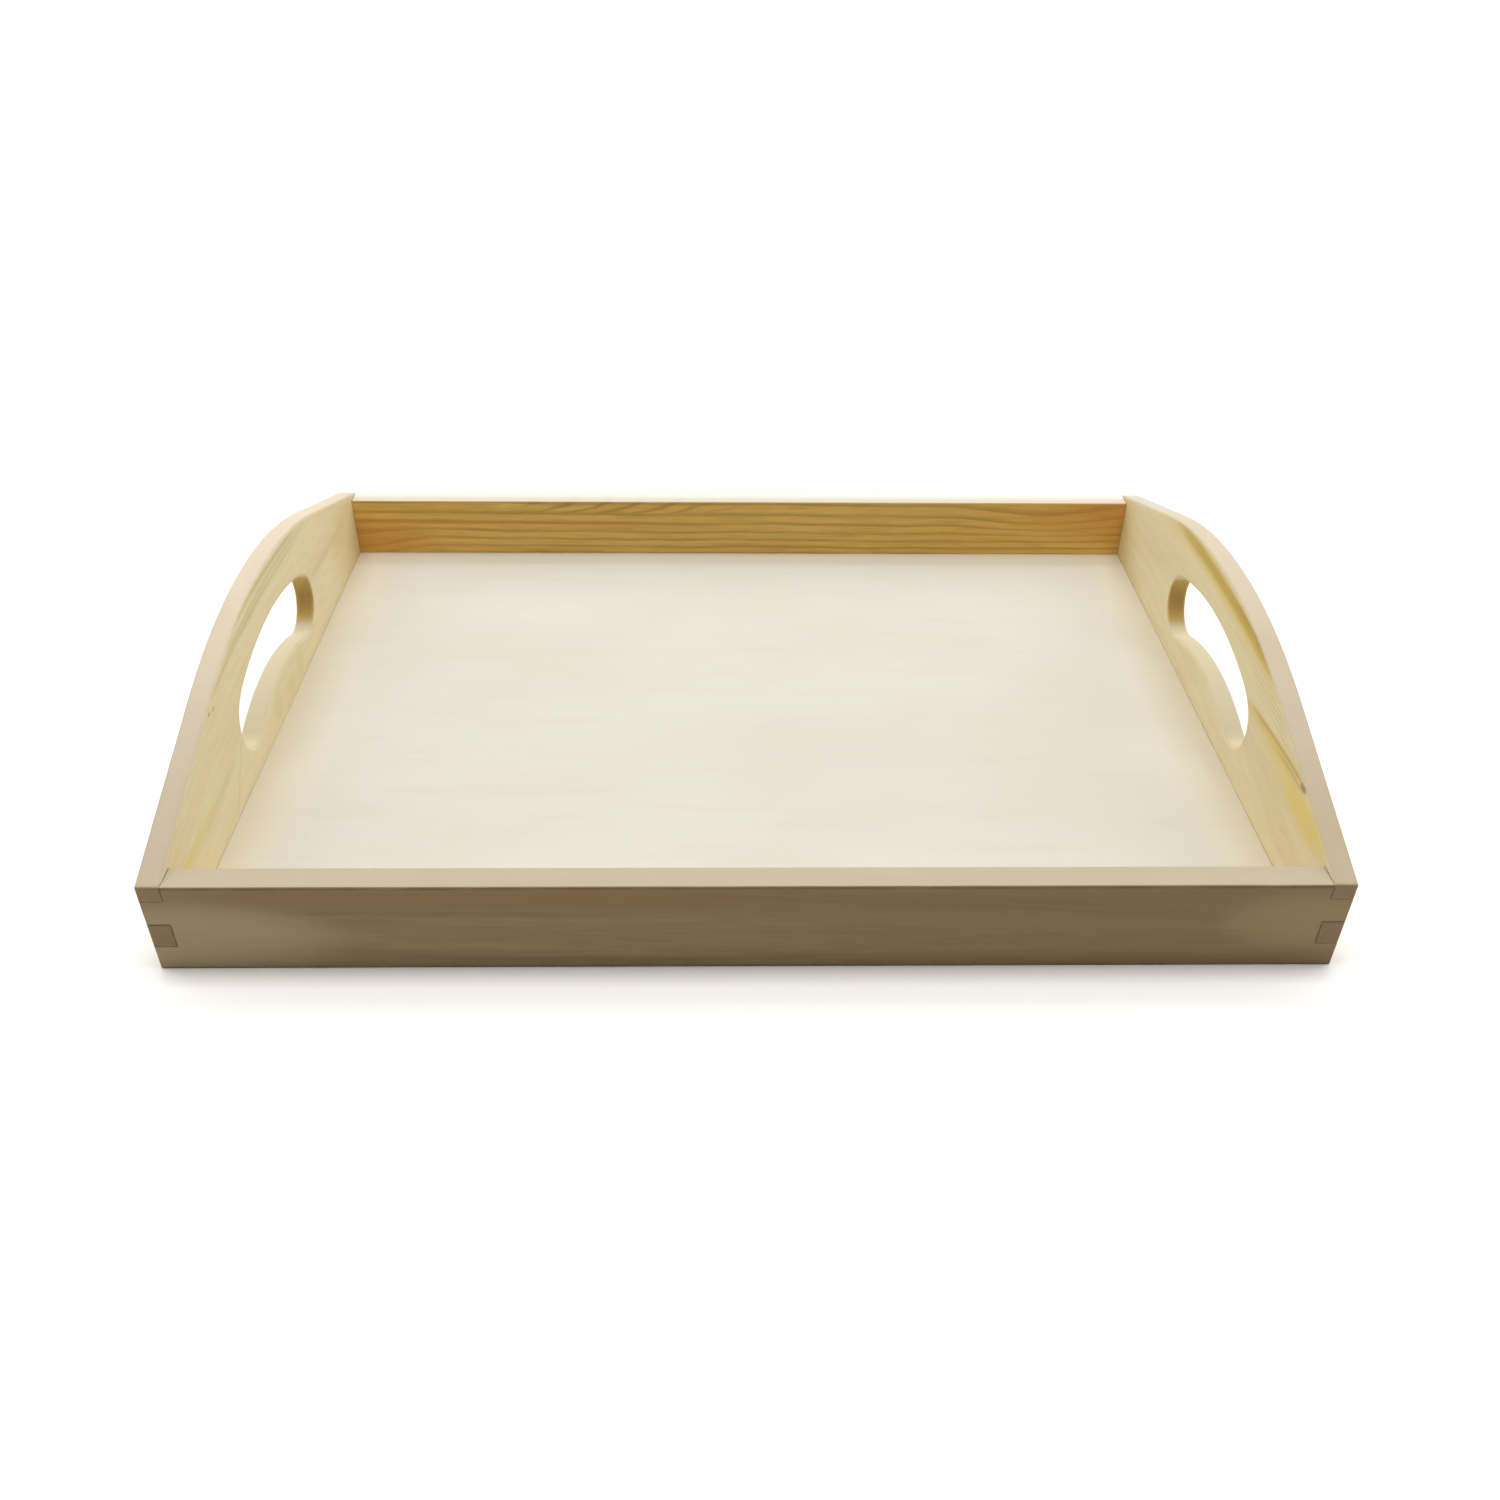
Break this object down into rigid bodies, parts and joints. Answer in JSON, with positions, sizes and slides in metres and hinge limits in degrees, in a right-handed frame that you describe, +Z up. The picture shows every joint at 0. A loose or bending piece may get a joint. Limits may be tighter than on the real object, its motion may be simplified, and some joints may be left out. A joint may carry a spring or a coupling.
{
  "type": "serving tray",
  "caption": "Shallow rectangular wooden serving tray: low front and back rails, arched end panels with bean-shaped hand holes, finger-jointed corners, plywood bottom.",
  "frame": {"origin": "centre of the tray's base, on the surface that it stands on", "axes": "+X along the rails towards the right end panel, +Y from the front rail to the back rail, +Z up"},
  "size_m": [0.4, 0.3, 0.0716],
  "materials": {
    "front_rail_pine": "bare sanded pine",
    "back_rail_pine": "bare sanded pine, resinous and strongly grained",
    "left_panel_pine": "bare sanded pine",
    "right_panel_pine": "bare sanded pine",
    "bottom_plywood": "bare sanded pale plywood"
  },
  "bodies": {
    "root": {"front_rail": "front_rail_pine", "back_rail": "back_rail_pine", "left_end_panel": "left_panel_pine", "right_end_panel": "right_panel_pine", "bottom_panel": "bottom_plywood"}
  },
  "joints": []
}
